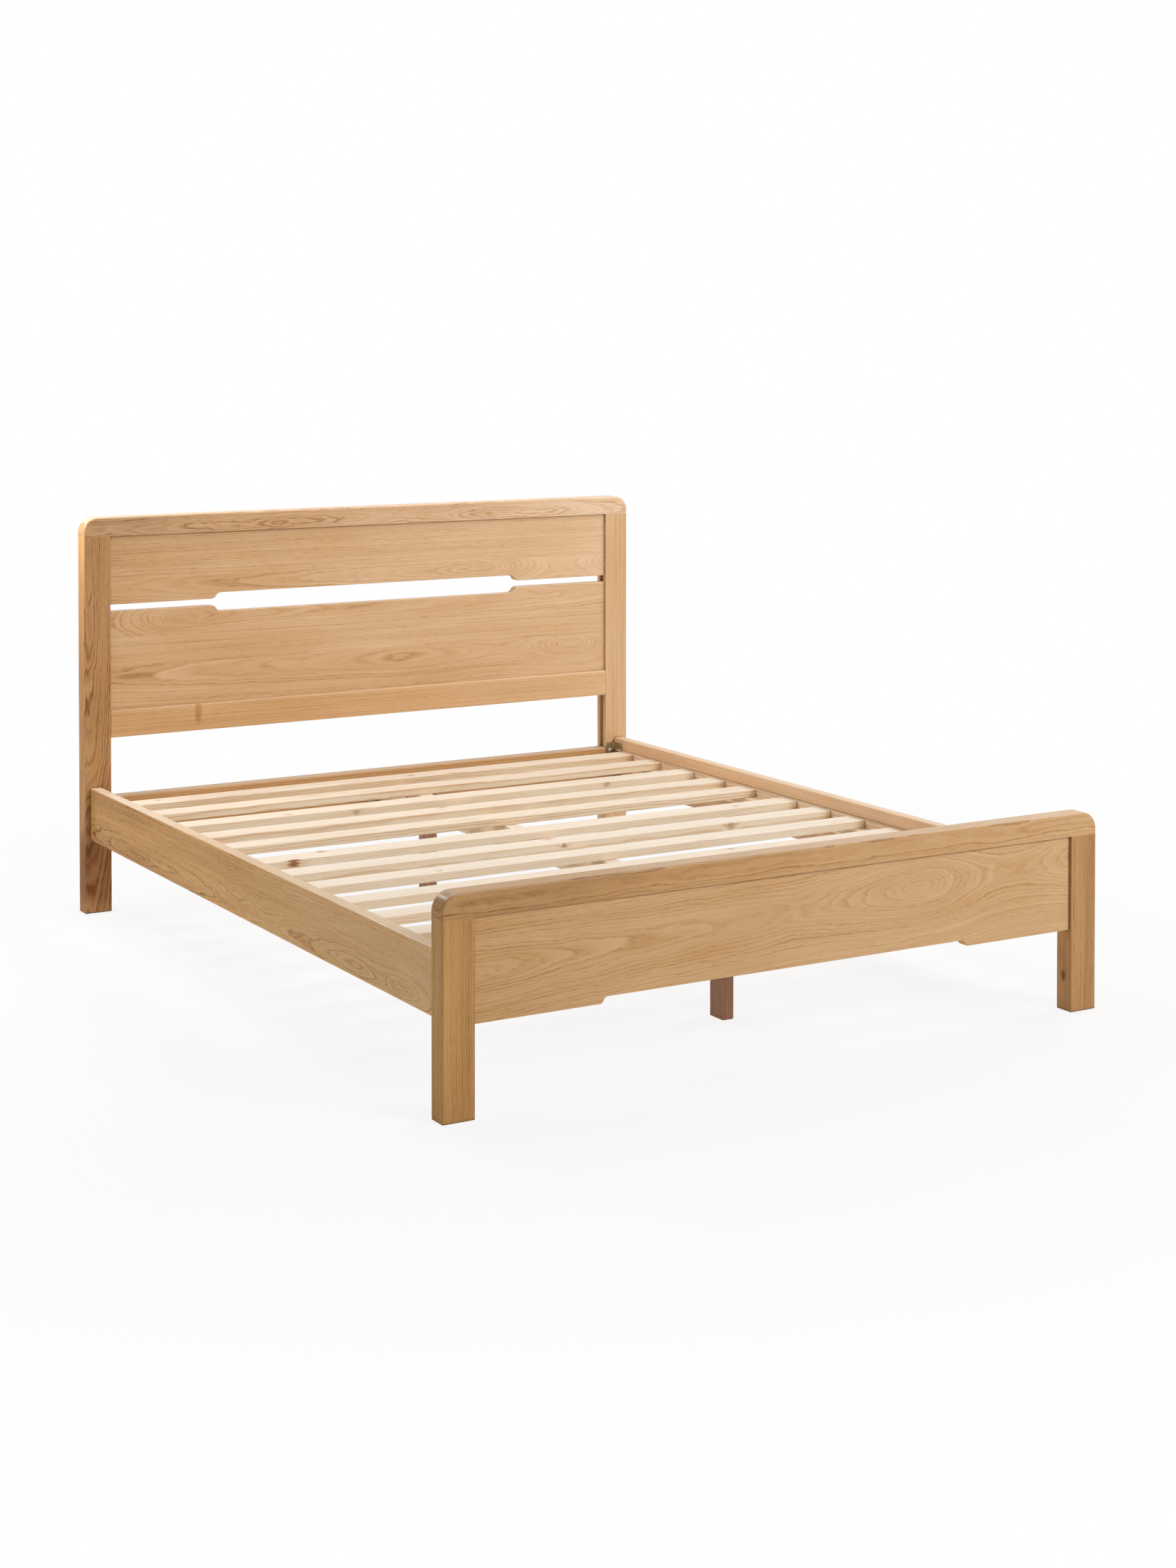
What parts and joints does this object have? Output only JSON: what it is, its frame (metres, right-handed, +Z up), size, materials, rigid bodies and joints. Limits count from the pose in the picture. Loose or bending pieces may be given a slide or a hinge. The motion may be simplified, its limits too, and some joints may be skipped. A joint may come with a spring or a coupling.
{
  "type": "bed frame",
  "caption": "Wooden bed frame with a slotted panel headboard, a low footboard, side rails and pine slats that carry a mattress.",
  "frame": {"origin": "on the floor, under the middle of the box around the frame", "axes": "+Z up, +Y from the footboard to the headboard, +X to the right seen from the foot"},
  "size_m": [1.7, 2.135, 1.064],
  "materials": {
    "oak": "satin lacquer",
    "oak_panel": "satin lacquer",
    "pine": "planed, unfinished",
    "stained_wood": "red-brown stain",
    "dowel_wood": "raw",
    "plated_steel": "zinc plated",
    "hardware": "zinc plated"
  },
  "bodies": {
    "root": {"back_centre_leg": "stained_wood", "bracket_bolts": "hardware", "bracket_washers": "hardware", "centre_beam": "pine", "centre_leg_bolts": "hardware", "centre_leg_nuts": "hardware", "centre_leg_washers": "hardware", "foot_beam_hanger": "plated_steel", "foot_left_bracket": "plated_steel", "foot_right_bracket": "plated_steel", "footboard_dowels": "dowel_wood", "footboard_left_leg": "oak", "footboard_panel": "oak_panel", "footboard_right_leg": "oak", "footboard_top_rail": "oak", "front_centre_leg": "stained_wood", "hanger_screws": "hardware", "head_beam_hanger": "plated_steel", "head_left_bracket": "plated_steel", "head_right_bracket": "plated_steel", "headboard_bottom_rail": "oak", "headboard_cross_rail": "oak", "headboard_dowels": "dowel_wood", "headboard_left_post": "oak", "headboard_lower_panel": "oak_panel", "headboard_right_post": "oak", "headboard_top_rail": "oak", "headboard_upper_panel": "oak_panel", "ledge_screws": "hardware", "left_side_rail": "oak", "left_slat_ledge": "pine", "right_side_rail": "oak", "right_slat_ledge": "pine", "side_rail_dowels": "dowel_wood", "slat_01": "pine", "slat_02": "pine", "slat_03": "pine", "slat_04": "pine", "slat_05": "pine", "slat_06": "pine", "slat_07": "pine", "slat_08": "pine", "slat_09": "pine", "slat_10": "pine", "slat_11": "pine", "slat_12": "pine", "slat_screws": "hardware"}
  },
  "joints": []
}
